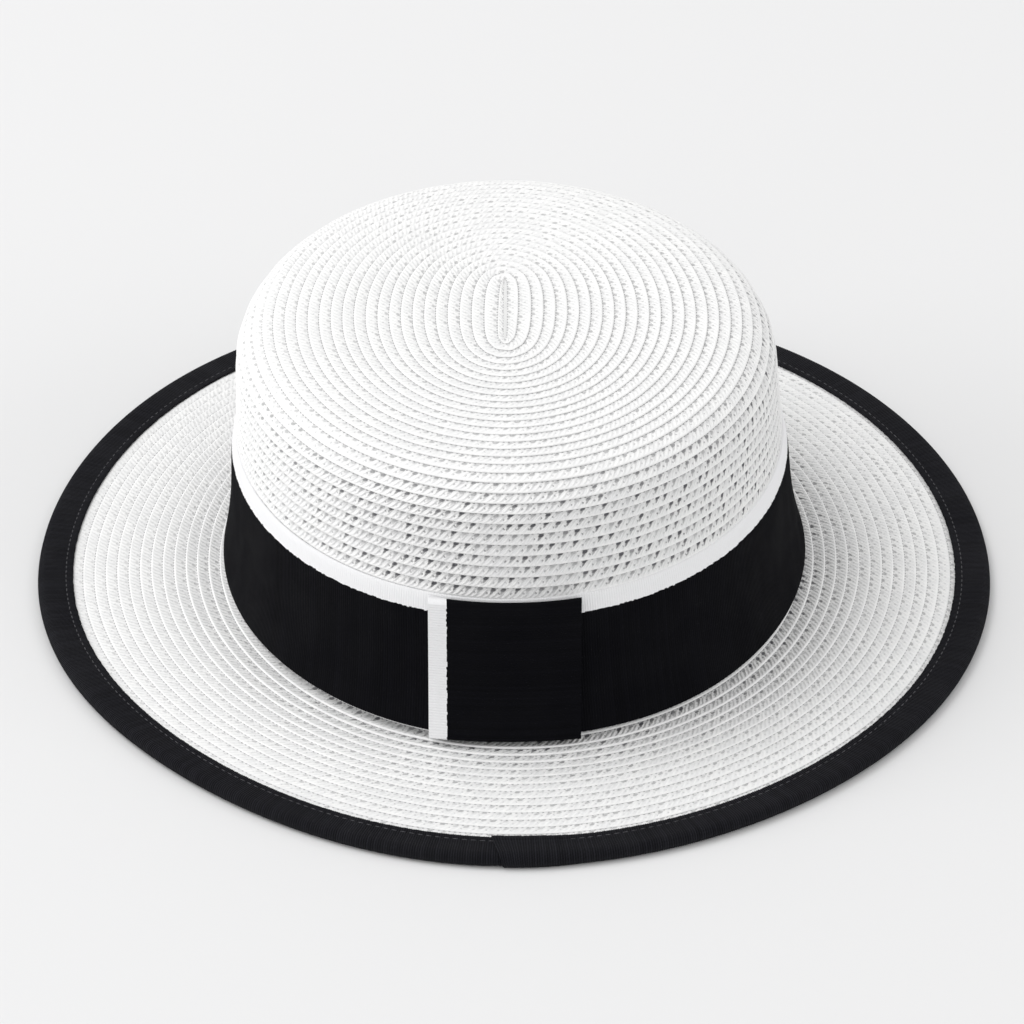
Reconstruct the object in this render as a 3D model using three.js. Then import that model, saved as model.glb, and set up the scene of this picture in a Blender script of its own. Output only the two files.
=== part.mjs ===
// Straw boater hat: a sewn straw body, a bound brim edge, a ribbon band and a flat bow.
// Millimetres, +Z up. The hat stands on its bound brim edge at z = 0, and the bow faces -Y.
import * as THREE from 'three';

const degrees = THREE.MathUtils.degToRad;

// The oval at the foot of the crown, measured over the ribbon
const HALF_WIDTH = 87;
const HALF_LENGTH = 104;

// The brim: its width at the sides and at the front and back, and its rise towards the crown
const BRIM_WIDTH_SIDE = 55;
const BRIM_WIDTH_FRONT = 50.5;
const BRIM_RISE = 4;

// The brim is not a true oval: it is drawn in a little at its front quarters and full at its back
// ones, by a share of its radius, and more on the left than on the right
const QUARTER_PINCH = 0.023;
const PINCH_SKEW = 0.01;
const BACK_SHARE = 0.6;

// Wall thicknesses, and the clear space left between neighbouring pieces
const STRAW = 1.8;
const TAPE = 1;
const GAP = 0.3;

// The tape folded over the brim's edge: its width, and the level ring that the hat stands on
const BINDING_WIDTH = 10.4;
const LEVEL_RING = 3;

// The crown: a tapering wall, a round shoulder and a low dome, leaning a little to the left
const FOOT_RADIUS = 5;
const WALL_TAPER = degrees(3.4);
const WALL_TOP = 73.6;
const SHOULDER_RADIUS = 14;
const DOME_EDGE_SLOPE = degrees(10);
const DOME_RADIUS = 130;
const DOME_TOP_SLOPE = degrees(1);
const CROWN_LEAN = degrees(1.9);

// The ribbon band, whose lower edge stands away from the wall over the crown's foot
const RIBBON_WIDTH = 41.8;
const RIBBON_FLARE = 2.7;
const FLARE_HEIGHT = 26;
const RIBBON_LIFT = 2;

// The flat bow: the same ribbon upright, laid over the band and rounded less than the band is.
// It stands straight, although the crown behind it leans.
const BOW_WIDTH = 43;
const BOW_HEIGHT = 42.6;
const BOW_THICKNESS = 1.6;
const BOW_FACE_RADIUS = 140;
const BOW_SHIFT = -2.6;

// How finely the round shapes are divided
const ROUND_STEPS = 72;
const FOOT_STEPS = 3;
const SHOULDER_STEPS = 7;
const DOME_STEPS = 3;
const FOLD_STEPS = 5;
const FLARE_STEPS = 3;
const BOW_STEPS = 12;
const BOW_ROWS = 5;

// Levels and radii that follow from the sizes above
const FOLD_RADIUS = STRAW / 2 + GAP + TAPE;
const BRIM_EDGE = HALF_WIDTH + BRIM_WIDTH_SIDE - FOLD_RADIUS;
const BRIM_EDGE_TOP = TAPE + GAP + STRAW;
const BRIM_FOOT_TOP = BRIM_EDGE_TOP + BRIM_RISE;
const BRIM_SLOPE = Math.atan2(BRIM_RISE, BRIM_EDGE - LEVEL_RING - HALF_WIDTH);
const WALL_FOOT = HALF_WIDTH - RIBBON_FLARE - TAPE - GAP;
const RIBBON_BOTTOM = BRIM_FOOT_TOP + RIBBON_LIFT;
const RIBBON_TOP = RIBBON_BOTTOM + RIBBON_WIDTH * Math.cos(WALL_TAPER);

const quarter = Math.PI / 2;
const point = (radius, z) => new THREE.Vector2(radius, z);
const towards = (angle) => new THREE.Vector2(Math.cos(angle), Math.sin(angle));

const strawMaterial = new THREE.MeshStandardMaterial({ color: 0xf1f0ec, roughness: 0.75, metalness: 0 });
const bindingMaterial = new THREE.MeshStandardMaterial({ color: 0x17171c, roughness: 0.9, metalness: 0 });
const ribbonMaterial = new THREE.MeshStandardMaterial({ color: 0x101014, roughness: 0.85, metalness: 0 });
const bowMaterial = new THREE.MeshStandardMaterial({ color: 0x0c0c10, roughness: 0.85, metalness: 0 });

// Half length of the ring whose half width is radius. The crown keeps its proportion all the
// way in, and the brim is a little narrower at the front and back than at the sides.
function halfLengthAt(radius) {
  if (radius <= HALF_WIDTH) return radius * HALF_LENGTH / HALF_WIDTH;
  return HALF_LENGTH + (radius - HALF_WIDTH) * BRIM_WIDTH_FRONT / BRIM_WIDTH_SIDE;
}

// The soft crown leans a little to the left, more the higher it stands above the brim
function leanAt(z) {
  return -Math.tan(CROWN_LEAN) * Math.max(z - BRIM_FOOT_TOP, 0);
}

// The ring's size at an angle as a share of the true oval's: 1 at the crown, uneven at the brim
function unevenAt(radius, angle) {
  const share = Math.max((radius - HALF_WIDTH) / (BRIM_EDGE - HALF_WIDTH), 0);
  const pinch = (QUARTER_PINCH - PINCH_SKEW * Math.cos(angle)) * Math.sin(2 * angle) ** 2;
  const back = Math.sin(angle) > 0 ? BACK_SHARE : 1;
  return 1 + share * pinch * back * Math.sin(angle);
}

// A closed profile of points (radius, height) turned about Z and drawn out to the oval
function ovalRing(profile) {
  const geometry = new THREE.LatheGeometry(profile, ROUND_STEPS);
  geometry.rotateX(quarter);
  const position = geometry.getAttribute('position');
  for (let i = 0; i < position.count; i += 1) {
    const radius = Math.hypot(position.getX(i), position.getY(i));
    const angle = Math.atan2(position.getY(i), position.getX(i));
    const z = position.getZ(i);
    const uneven = unevenAt(radius, angle);
    position.setX(i, radius * Math.cos(angle) * uneven + leanAt(z));
    position.setY(i, halfLengthAt(radius) * Math.sin(angle) * uneven);
  }
  return geometry;
}

// The same for a wall between two lines that run the same way
function closedRing(inside, outside) {
  return ovalRing([...inside, ...outside.reverse(), inside[0]]);
}

// Points along an arc about a centre
function arc(centre, radius, fromAngle, toAngle, steps) {
  const points = [];
  for (let i = 0; i <= steps; i += 1) {
    const angle = THREE.MathUtils.lerp(fromAngle, toAngle, i / steps);
    points.push(towards(angle).multiplyScalar(radius).add(centre));
  }
  return points;
}

// A line of points moved to the left of the way it runs, by a distance
function moveLeft(points, distance) {
  return points.map((at, i) => {
    const before = points[Math.max(i - 1, 0)];
    const after = points[Math.min(i + 1, points.length - 1)];
    const along = after.clone().sub(before).normalize();
    return point(at.x - along.y * distance, at.y + along.x * distance);
  });
}

// Radius of the straw wall's outer face, and of the ribbon's, at a height
function wallRadiusAt(z) {
  return WALL_FOOT - (z - BRIM_FOOT_TOP) * Math.tan(WALL_TAPER);
}

function ribbonRadiusAt(z) {
  const aboveEdge = THREE.MathUtils.clamp((z - RIBBON_BOTTOM) / FLARE_HEIGHT, 0, 1);
  return wallRadiusAt(z) + GAP + TAPE + RIBBON_FLARE * (1 - aboveEdge) ** 2;
}

// Height of the brim's upper face at a radius
function brimTopAt(radius) {
  const inwards = Math.max(BRIM_EDGE - LEVEL_RING - radius, 0);
  return BRIM_EDGE_TOP + inwards * Math.tan(BRIM_SLOPE);
}

// The straw's upper and outer face, from the brim's edge in and up to the middle of the crown
function strawFace() {
  const brim = [point(BRIM_EDGE, BRIM_EDGE_TOP), point(BRIM_EDGE - LEVEL_RING, BRIM_EDGE_TOP)];

  const footRadius = wallRadiusAt(BRIM_FOOT_TOP + FOOT_RADIUS) + FOOT_RADIUS / Math.cos(WALL_TAPER);
  const footCentre = point(footRadius, brimTopAt(footRadius) + FOOT_RADIUS / Math.cos(BRIM_SLOPE));
  const foot = arc(footCentre, FOOT_RADIUS, -quarter - BRIM_SLOPE, WALL_TAPER - Math.PI, FOOT_STEPS);

  const wallTop = point(wallRadiusAt(WALL_TOP), WALL_TOP);
  const shoulderCentre = wallTop.addScaledVector(towards(WALL_TAPER), -SHOULDER_RADIUS);
  const domeEdge = quarter - DOME_EDGE_SLOPE;
  const shoulder = arc(shoulderCentre, SHOULDER_RADIUS, WALL_TAPER, domeEdge, SHOULDER_STEPS);

  const domeTop = quarter - DOME_TOP_SLOPE;
  const domeCentre = shoulder[SHOULDER_STEPS].clone().addScaledVector(towards(domeEdge), -DOME_RADIUS);
  const dome = arc(domeCentre, DOME_RADIUS, domeEdge, domeTop, DOME_STEPS).slice(1);
  const domeEnd = dome[DOME_STEPS - 1];
  const middle = point(0, domeEnd.y + domeEnd.x * Math.tan(DOME_TOP_SLOPE));

  return [...brim, ...foot, ...shoulder, ...dome, middle];
}

// Crown and brim in one: the face, and the same line one straw thickness further in
function strawBody() {
  const face = strawFace();
  const inside = moveLeft(face, STRAW);
  const last = face.length - 1;
  inside[0] = point(face[0].x, face[0].y - STRAW);
  inside[last] = point(0, face[last].y - STRAW);
  return ovalRing([...inside.reverse(), ...face]);
}

// The binding: a tape above the brim, round its edge and back below it
function brimBinding() {
  const inner = BRIM_EDGE + FOLD_RADIUS - BINDING_WIDTH;
  const bend = BRIM_EDGE - LEVEL_RING;
  const centre = point(BRIM_EDGE, BRIM_EDGE_TOP - STRAW / 2);
  const topLine = (clear) => [point(inner, brimTopAt(inner) + clear), point(bend, BRIM_EDGE_TOP + clear)];
  const bottomLine = (clear) => topLine(-STRAW - clear).reverse();
  const fold = (radius) => arc(centre, radius, quarter, -quarter, FOLD_STEPS);

  const outside = [...topLine(GAP + TAPE), ...fold(FOLD_RADIUS), ...bottomLine(GAP + TAPE)];
  const inside = [...topLine(GAP), ...fold(FOLD_RADIUS - TAPE), ...bottomLine(GAP)];
  return closedRing(inside, outside);
}

// The ribbon round the foot of the crown
function ribbonBand() {
  const levels = [RIBBON_TOP];
  for (let i = FLARE_STEPS; i >= 0; i -= 1) levels.push(RIBBON_BOTTOM + FLARE_HEIGHT * i / FLARE_STEPS);
  const outside = levels.map((z) => point(ribbonRadiusAt(z), z));
  const inside = levels.map((z) => point(ribbonRadiusAt(z) - TAPE, z));
  return closedRing(inside, outside);
}

// The bow: a block bent so that its back follows the band and its face is rounded less
function flatBow() {
  const geometry = new THREE.BoxGeometry(BOW_WIDTH, BOW_THICKNESS, BOW_HEIGHT, BOW_STEPS, 1, BOW_ROWS);
  const position = geometry.getAttribute('position');
  const middle = (RIBBON_BOTTOM + RIBBON_TOP) / 2;
  for (let i = 0; i < position.count; i += 1) {
    const x = position.getX(i) + BOW_SHIFT;
    const z = position.getZ(i) * Math.cos(WALL_TAPER) + middle;
    const radius = ribbonRadiusAt(z);
    const bandFront = halfLengthAt(radius) * Math.sqrt(1 - ((x - leanAt(z)) / radius) ** 2) + GAP;
    const faceRound = position.getX(i) ** 2 / (2 * BOW_FACE_RADIUS);
    const faceFront = halfLengthAt(radius) + GAP + BOW_THICKNESS - faceRound;
    const isFace = position.getY(i) < 0;
    position.setXYZ(i, x, isFace ? -faceFront : -bandFront, z);
  }
  return geometry;
}

const hat = new THREE.Group();

function addPiece(name, geometry, material) {
  const mesh = new THREE.Mesh(geometry, material);
  mesh.name = name;
  hat.add(mesh);
}

addPiece('straw_body', strawBody(), strawMaterial);
addPiece('brim_binding', brimBinding(), bindingMaterial);
addPiece('ribbon_band', ribbonBand(), ribbonMaterial);
addPiece('flat_bow', flatBow(), bowMaterial);

export default hat;
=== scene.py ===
# %% [markdown]
# # A straw boater
# A boater is one very long braid of paper straw. It is wound from the middle of the crown out to
# the edge of the brim, each row lapped over the next one, and stitched. A black tape binds the
# edge, a black ribbon with a white stripe goes round the crown, and a flat bow of the same ribbon
# hides the ribbon's join.
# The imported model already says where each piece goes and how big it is, so the lesson starts by
# loading it. The model's own box is kept, because the finished hat has to stay inside it.

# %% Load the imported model
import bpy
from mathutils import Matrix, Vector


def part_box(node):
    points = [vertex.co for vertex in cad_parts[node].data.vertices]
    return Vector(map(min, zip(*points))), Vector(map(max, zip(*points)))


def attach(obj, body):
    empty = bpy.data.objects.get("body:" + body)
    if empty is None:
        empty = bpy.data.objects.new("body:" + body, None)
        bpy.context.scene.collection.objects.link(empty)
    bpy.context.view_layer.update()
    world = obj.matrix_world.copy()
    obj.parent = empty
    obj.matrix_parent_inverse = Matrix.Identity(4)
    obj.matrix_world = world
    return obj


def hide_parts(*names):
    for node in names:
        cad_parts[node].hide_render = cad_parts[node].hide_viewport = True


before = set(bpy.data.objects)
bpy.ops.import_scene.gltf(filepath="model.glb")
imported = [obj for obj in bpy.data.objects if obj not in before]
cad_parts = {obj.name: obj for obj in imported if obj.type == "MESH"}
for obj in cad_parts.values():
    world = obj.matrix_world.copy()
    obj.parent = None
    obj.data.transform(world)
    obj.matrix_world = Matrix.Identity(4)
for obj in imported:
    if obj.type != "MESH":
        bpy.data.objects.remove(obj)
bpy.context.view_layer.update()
print("nodes:", sorted(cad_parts))

# %% Tools and the pieces' boxes
import math
import bpy
import numpy as np
from mathutils import Vector

MM = 0.001
straw_low, straw_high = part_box("straw_body")
binding_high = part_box("brim_binding")[1]
band_low, band_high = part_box("ribbon_band")
bow_low, bow_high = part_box("flat_bow")

# %% [markdown]
# ## Floor, light and camera
# White straw on a white floor shows only by its shadows, so the light matters more than usual.
# A broad light stands high on the left, and a second one low on the same side rakes over the rows,
# which gives each of them a bright and a dark side. An even white sky fills the shadows, and a
# weak light on the right keeps the wall there readable.
# The camera is far away with a long lens, which keeps the ovals from looking stretched.

# %% Floor
FLOOR_SIZE = 12.0
FLOOR_WHITE = (0.755, 0.755, 0.758, 1)
bpy.ops.object.select_all(action="DESELECT")
bpy.ops.mesh.primitive_plane_add(size=FLOOR_SIZE, location=(0, 0, 0))
floor = bpy.context.object
floor.name = "studio_floor"
floor_paint = bpy.data.materials.new("pale_floor")
floor_paint.use_nodes = True
floor_shader = floor_paint.node_tree.nodes["Principled BSDF"]
floor_shader.inputs["Base Color"].default_value = FLOOR_WHITE
floor_shader.inputs["Roughness"].default_value = 0.95
floor_shader.inputs["Specular IOR Level"].default_value = 0.1
floor.data.materials.append(floor_paint)
print("floor is", FLOOR_SIZE, "m wide")

# %% Light
SKY_STRENGTH = 0.76


def soft_light(name, place, size, power):
    """A square area light that faces the hat."""
    lamp = bpy.data.lights.new(name, "AREA")
    lamp.size = size
    lamp.energy = power
    holder = bpy.data.objects.new(name, lamp)
    bpy.context.scene.collection.objects.link(holder)
    holder.location = place
    holder.rotation_euler = (-Vector(place)).to_track_quat("-Z", "Y").to_euler()
    return holder


lamps = [
    soft_light("key_light", place=(-2.0, 0.6, 3.4), size=2.2, power=52.0),
    soft_light("left_light", place=(-3.4, -0.5, 1.1), size=2.6, power=46.0),
    soft_light("right_light", place=(3.2, -1.2, 1.5), size=2.6, power=26.0),
]
print("lights:", [lamp.name for lamp in lamps])
sky = bpy.data.worlds.new("white_sky")
sky.use_nodes = True
sky.node_tree.nodes["Background"].inputs["Color"].default_value = (1, 1, 1, 1)
sky.node_tree.nodes["Background"].inputs["Strength"].default_value = SKY_STRENGTH
bpy.context.scene.world = sky
bpy.context.scene.view_settings.view_transform = "Standard"

# %% Camera
CAMERA_TILT = math.radians(32)
CAMERA_DISTANCE = 1.6
CAMERA_TARGET = Vector((-0.0006, 0, 0.0195))
CAMERA_LENS = 189
FILM_WIDTH = 36
eye = bpy.data.cameras.new("studio_camera")
eye.lens = CAMERA_LENS
eye.sensor_width = FILM_WIDTH
camera = bpy.data.objects.new("studio_camera", eye)
bpy.context.scene.collection.objects.link(camera)
away = Vector((0, -math.cos(CAMERA_TILT), math.sin(CAMERA_TILT)))
camera.location = CAMERA_TARGET + away * CAMERA_DISTANCE
camera.rotation_euler = (-away).to_track_quat("-Z", "Y").to_euler()
bpy.context.scene.camera = camera
print("camera stands", CAMERA_DISTANCE, "m away")

# %% [markdown]
# ## The line of the hat
# A hat block is an oval form. Cut the hat through its middle and the straw's outer face is one
# line: nearly level over the dome, round the shoulder, down the tapering wall, round the foot and
# out along the brim. Everything woven is laid along this line, so it is drawn once, with the same
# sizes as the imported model, and then read by the distance walked from the middle of the crown.
# Straw is soft, so a real hat is never a true oval. The crown of this one leans a little to the
# left, and its brim is drawn in at the front quarters and stands a little fuller at the back ones.

# %% Sizes of the block
OVAL_WIDTH = 87 * MM
OVAL_LENGTH = 104 * MM
OVAL = OVAL_LENGTH / OVAL_WIDTH
BRIM_OVAL = 50.5 / 55
STRAW = 1.8 * MM
TAPE = 1.0 * MM
GAP = 0.3 * MM
LEVEL_RING = 3 * MM
BRIM_RISE = 4 * MM
WALL_TAPER = math.radians(3.4)
WALL_TOP = 73.6 * MM
SHOULDER_RADIUS = 14 * MM
DOME_RADIUS = 130 * MM
SHOULDER_END = math.radians(80)
DOME_END = math.radians(89)
MIDDLE_SLOPE = math.radians(1)
CROWN_LEAN = math.tan(math.radians(1.9))
FOOT_RADIUS = 5 * MM
RIBBON_FLARE = 2.7 * MM
FLARE_HEIGHT = 26 * MM
QUARTER_PINCH = 0.023
PINCH_SKEW = 0.01
BACK_SHARE = 0.6

BRIM_EDGE = straw_high.x
BRIM_EDGE_TOP = straw_low.z + STRAW
BRIM_FOOT_TOP = BRIM_EDGE_TOP + BRIM_RISE
BRIM_SLOPE = math.atan2(BRIM_RISE, BRIM_EDGE - LEVEL_RING - OVAL_WIDTH)
WALL_FOOT = OVAL_WIDTH - RIBBON_FLARE - TAPE - GAP


def half_length_at(radius):
    """Half length of the oval whose half width is radius."""
    brim = OVAL_LENGTH + (radius - OVAL_WIDTH) * BRIM_OVAL
    return np.where(radius <= OVAL_WIDTH, radius * OVAL, brim)


def wall_radius_at(z):
    """Half width of the crown's outer face, which tapers upwards."""
    return WALL_FOOT - (z - BRIM_FOOT_TOP) * math.tan(WALL_TAPER)


def brim_top_at(radius):
    """Height of the brim's upper face, which falls to a level ring at its edge."""
    return BRIM_EDGE_TOP + np.maximum(BRIM_EDGE - LEVEL_RING - radius, 0) * math.tan(BRIM_SLOPE)


def lean_at(z):
    """The soft crown leans a little to the left, more the higher it stands above the brim."""
    return -CROWN_LEAN * np.maximum(z - BRIM_FOOT_TOP, 0)


def oval_point(radius, turn, height):
    """A point on an oval ring. The brim is drawn in at its front quarters and full at the back."""
    cos, sin = np.cos(turn), np.sin(turn)
    share = np.maximum((radius - OVAL_WIDTH) / (BRIM_EDGE - OVAL_WIDTH), 0)
    pinch = (QUARTER_PINCH - PINCH_SKEW * cos) * np.sin(2 * turn) ** 2
    uneven = 1 + share * pinch * np.where(sin > 0, BACK_SHARE, 1) * sin
    return np.stack((radius * cos * uneven, half_length_at(radius) * sin * uneven, height), -1)


print("brim edge at", round(BRIM_EDGE / MM, 1), "mm, wall foot at", round(WALL_FOOT / MM, 1), "mm")

# %% Draw the line
def arc(centre, radius, start, end, steps=40):
    """Points (radius, height) along an arc."""
    turn = np.linspace(start, end, steps + 1)
    return np.column_stack((centre[0] + radius * np.cos(turn), centre[1] + radius * np.sin(turn)))


def hat_line():
    """The outer face from the brim's edge in to the middle of the crown."""
    quarter = math.pi / 2
    foot_x = wall_radius_at(BRIM_FOOT_TOP + FOOT_RADIUS) + FOOT_RADIUS / math.cos(WALL_TAPER)
    foot_z = float(brim_top_at(foot_x)) + FOOT_RADIUS / math.cos(BRIM_SLOPE)
    foot = arc((foot_x, foot_z), FOOT_RADIUS, -quarter - BRIM_SLOPE, WALL_TAPER - math.pi)
    shoulder_x = wall_radius_at(WALL_TOP) - SHOULDER_RADIUS * math.cos(WALL_TAPER)
    shoulder_z = WALL_TOP - SHOULDER_RADIUS * math.sin(WALL_TAPER)
    shoulder = arc((shoulder_x, shoulder_z), SHOULDER_RADIUS, WALL_TAPER, SHOULDER_END)
    drop = DOME_RADIUS - SHOULDER_RADIUS
    dome_x = shoulder_x - drop * math.cos(SHOULDER_END)
    dome_z = shoulder_z - drop * math.sin(SHOULDER_END)
    dome = arc((dome_x, dome_z), DOME_RADIUS, SHOULDER_END, DOME_END)
    middle = (0, dome[-1][1] + dome[-1][0] * math.tan(MIDDLE_SLOPE))
    rim = [(BRIM_EDGE, BRIM_EDGE_TOP), (BRIM_EDGE - LEVEL_RING, BRIM_EDGE_TOP)]
    return np.vstack((rim, foot, shoulder, dome, [middle])), len(rim) + len(foot)


LINE_STEP = 0.1 * MM
outline, shoulder_start = hat_line()
outline = outline[::-1]
steps = np.hypot(*np.diff(outline, axis=0).T)
walked = np.concatenate(([0], np.cumsum(steps)))
crown_flat = walked[len(outline) - 1 - shoulder_start]
line_end = walked[-1]
line_at = np.arange(0, line_end + LINE_STEP, LINE_STEP)
line_radius = np.interp(line_at, walked, outline[:, 0])
line_height = np.interp(line_at, walked, outline[:, 1])
line_out = np.gradient(line_radius, line_at)
line_up = np.gradient(line_height, line_at)
print("line:", round(line_end / MM, 1), "mm long, wall starts at", round(crown_flat / MM, 1), "mm")


# %% Stand a point on the line, and lift it off the face
NO_RADIUS = 1e-6


def place(walk, turn, lift):
    """Points at a distance walked from the middle, at an angle round the oval, lifted off it."""
    radius = np.interp(walk, line_at, line_radius)
    out = np.interp(walk, line_at, line_out)
    up = np.interp(walk, line_at, line_up)
    cos, sin = np.cos(turn), np.sin(turn)
    safe_radius = np.maximum(radius, NO_RADIUS)
    stretch = np.where(radius > NO_RADIUS, half_length_at(radius) / safe_radius, OVAL)
    slope = np.where(radius <= OVAL_WIDTH, OVAL, BRIM_OVAL)
    height = np.interp(walk, line_at, line_height)
    face = oval_point(radius, turn, height)
    outward = np.stack((out * cos, out * slope * sin, up), -1)
    around = np.stack((-sin, stretch * cos, np.zeros_like(sin)), -1)
    normal = np.cross(outward, around)
    normal /= np.linalg.norm(normal, axis=-1, keepdims=True)
    face += normal * np.asarray(lift)[..., None]
    face[..., 0] += lean_at(face[..., 2])
    return face


# %% [markdown]
# ## A sheet of points made into a piece
# Everything on this hat is a long strip bent to a shape: the braid, the tape and the ribbon. One
# helper serves them all. It adds a plane grid, moves each of its points to where the strip goes,
# writes the strip's own pattern coordinates, and then sews the long edges together by merging the
# points that meet. Pattern coordinates follow the cloth, so a weave never slides off its strip.

# %% The strip helper
MERGE_WITHIN = 1e-6
SMOOTH_UNDER = math.radians(75)


def strip_piece(name, points, pattern, close_ends=False):
    """A closed piece from points[column, row, xyz]: its last row repeats its first one."""
    columns, rows = points.shape[:2]
    bpy.ops.object.select_all(action="DESELECT")
    bpy.ops.mesh.primitive_grid_add(x_subdivisions=columns - 1, y_subdivisions=rows - 1, size=1)
    piece = bpy.context.object
    piece.name = name
    mesh = piece.data
    mesh.name = name
    flat = np.empty(len(mesh.vertices) * 3)
    mesh.vertices.foreach_get("co", flat)
    flat = flat.reshape(-1, 3)
    column = np.rint((flat[:, 0] + 0.5) * (columns - 1)).astype(int)
    row = np.rint((flat[:, 1] + 0.5) * (rows - 1)).astype(int)
    mesh.vertices.foreach_set("co", points[column, row].ravel())
    corner = np.empty(len(mesh.loops), dtype=np.int32)
    mesh.loops.foreach_get("vertex_index", corner)
    weave_map = mesh.uv_layers[0]
    weave_map.name = "strip"
    weave_map.data.foreach_set("uv", pattern[column[corner], row[corner]].ravel())
    bpy.ops.object.mode_set(mode="EDIT")
    bpy.ops.mesh.select_all(action="SELECT")
    bpy.ops.mesh.remove_doubles(threshold=MERGE_WITHIN)
    if not close_ends:
        bpy.ops.mesh.select_all(action="DESELECT")
        bpy.ops.mesh.select_non_manifold()
        bpy.ops.mesh.edge_face_add()
    bpy.ops.mesh.select_all(action="SELECT")
    bpy.ops.mesh.normals_make_consistent(inside=False)
    bpy.ops.object.mode_set(mode="OBJECT")
    bpy.ops.object.shade_smooth_by_angle(angle=SMOOTH_UNDER)
    print(name, "has", sum(len(face.vertices) - 2 for face in mesh.polygons), "triangles")
    return piece


def dress(piece, node, material):
    """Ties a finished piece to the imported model, and gives it its finish."""
    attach(piece, "root")
    if node:
        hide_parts(node)
    piece.data.materials.clear()
    piece.data.materials.append(material)


# %% [markdown]
# ## Finishes: helpers for nodes
# Every finish here is worked out by nodes. Effects that more than one finish uses are node groups
# with named inputs and outputs, like small tools that are made once. These helpers only add a node
# and join it up, so that the groups below read as arithmetic.

# %% Node helpers
SPOT_SOFT = 0.6


def feed(tree, socket, value):
    """Joins a socket to a node's output, or sets it to a plain value."""
    if isinstance(value, bpy.types.NodeSocket):
        tree.links.new(value, socket)
    else:
        socket.default_value = value


def sum_node(tree, kind, *values, clamp=False):
    """A Math node, by its operation's name."""
    node = tree.nodes.new("ShaderNodeMath")
    node.operation = kind
    node.use_clamp = clamp
    for socket, value in zip(node.inputs, values):
        feed(tree, socket, value)
    return node.outputs[0]


def times(tree, first, second):
    return sum_node(tree, "MULTIPLY", first, second)


def minus(tree, first, second):
    return sum_node(tree, "SUBTRACT", first, second)


def fade(tree, value, low, high, first=0.0, last=1.0):
    """Runs smoothly from first to last while value runs from low to high."""
    node = tree.nodes.new("ShaderNodeMapRange")
    node.interpolation_type = "SMOOTHSTEP"
    for name, number in (("From Min", low), ("From Max", high), ("To Min", first), ("To Max", last)):
        feed(tree, node.inputs[name], number)
    feed(tree, node.inputs["Value"], value)
    return node.outputs["Result"]


def by_chance(tree, luck, ends):
    """Runs from one end to the other with a chance value."""
    return fade(tree, luck, 0, 1, *ends)


def split(tree, vector):
    """The three parts of a vector or colour."""
    node = tree.nodes.new("ShaderNodeSeparateXYZ")
    feed(tree, node.inputs[0], vector)
    return node.outputs


def chance(tree, number):
    """Three random values that stay the same for each whole number."""
    node = tree.nodes.new("ShaderNodeTexWhiteNoise")
    node.noise_dimensions = "1D"
    feed(tree, node.inputs["W"], number)
    return split(tree, node.outputs["Color"])


def square_of_share(tree, value, size):
    """How far out a value is, as a share of a size, squared."""
    share = sum_node(tree, "ABSOLUTE", sum_node(tree, "DIVIDE", value, size))
    return sum_node(tree, "POWER", share, 2.0)


def spot(tree, across, down, size):
    """One inside an oval spot of size (wide, tall), falling softly to nothing outside it."""
    first = square_of_share(tree, across, size[0])
    second = square_of_share(tree, down, size[1])
    return fade(tree, sum_node(tree, "ADD", first, second), 1 - SPOT_SOFT, 1 + SPOT_SOFT, 1.0, 0.0)


def new_group(name, inputs, outputs):
    """An empty shader group with its named sockets."""
    group = bpy.data.node_groups.new(name, "ShaderNodeTree")
    for label, kind, value in inputs:
        socket = group.interface.new_socket(label, in_out="INPUT", socket_type=kind)
        if value is not None:
            socket.default_value = value
    for label, kind in outputs:
        group.interface.new_socket(label, in_out="OUTPUT", socket_type=kind)
    return group, group.nodes.new("NodeGroupInput").outputs, group.nodes.new("NodeGroupOutput").inputs


def use_group(tree, group, **values):
    """Places a group in a finish, with its own values."""
    node = tree.nodes.new("ShaderNodeGroup")
    node.node_tree = group
    for label, value in values.items():
        feed(tree, node.inputs[label.replace("_", " ")], value)
    return node.outputs


def new_finish(name, roughness, sheen=0.0, gloss=0.5):
    """A Principled material, with the values that are the same all over set on its own sockets."""
    material = bpy.data.materials.new(name)
    material.use_nodes = True
    shader = material.node_tree.nodes["Principled BSDF"]
    shader.inputs["Roughness"].default_value = roughness
    shader.inputs["Sheen Weight"].default_value = sheen
    shader.inputs["Specular IOR Level"].default_value = gloss
    return material, material.node_tree, shader


def raise_surface(tree, shader, height, distance, strength):
    """Relief that is too fine for the mesh."""
    bump = tree.nodes.new("ShaderNodeBump")
    bump.inputs["Distance"].default_value = distance
    bump.inputs["Strength"].default_value = strength
    feed(tree, bump.inputs["Height"], height)
    feed(tree, shader.inputs["Normal"], bump.outputs["Normal"])


def blend_colour(tree, share, first, second):
    """The first colour where share is 0 and the second where it is 1."""
    node = tree.nodes.new("ShaderNodeMix")
    node.data_type = "RGBA"
    feed(tree, node.inputs["Factor"], share)
    feed(tree, node.inputs["A"], first)
    feed(tree, node.inputs["B"], second)
    return node.outputs["Result"]


def strip_map(tree):
    """The strip's own pattern coordinates."""
    node = tree.nodes.new("ShaderNodeUVMap")
    node.uv_map = "strip"
    return node.outputs["UV"]


# %% [markdown]
# ## Grain that every fibre has
# Paper straw, tape and ribbon all have a fine uneven grain. One small group makes it, and each
# finish asks for it at its own size. It reads Object coordinates, which lie still on the piece.

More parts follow.
